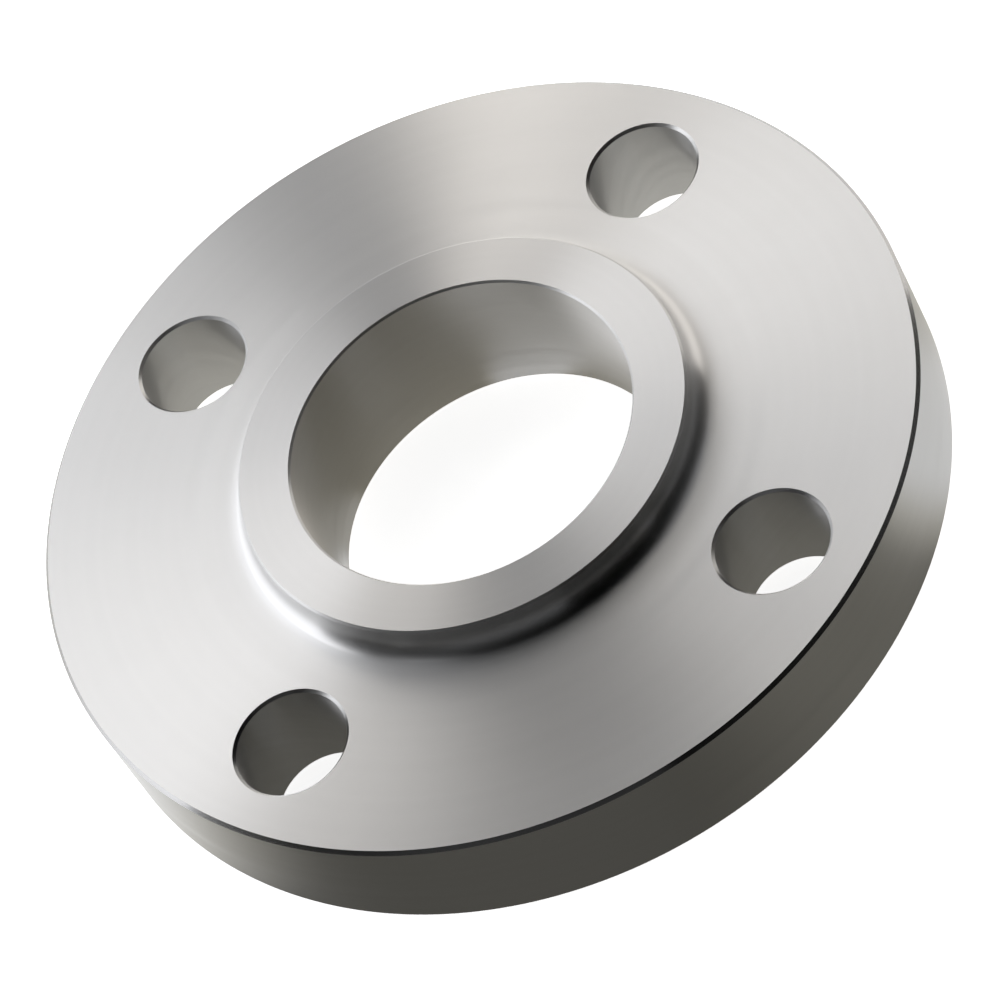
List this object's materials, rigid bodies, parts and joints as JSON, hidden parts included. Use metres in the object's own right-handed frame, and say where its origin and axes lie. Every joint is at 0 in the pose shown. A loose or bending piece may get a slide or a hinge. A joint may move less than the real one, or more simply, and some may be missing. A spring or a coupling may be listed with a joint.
{
  "type": "raised face flange",
  "caption": "Round slip-on pipe flange: a drilled steel disc with a short hub around a straight bore and a raised gasket face.",
  "frame": {"origin": "centre of the raised gasket face, at the bottom, on the bore axis", "axes": "+Z along the bore axis, from the raised face towards the hub; X and Y pass midway between the bolt holes"},
  "size_m": [0.127, 0.127, 0.0228],
  "materials": {
    "turned_steel": "satin, fine turned rings"
  },
  "bodies": {
    "root": {"slip_on_flange": "turned_steel"}
  },
  "joints": []
}
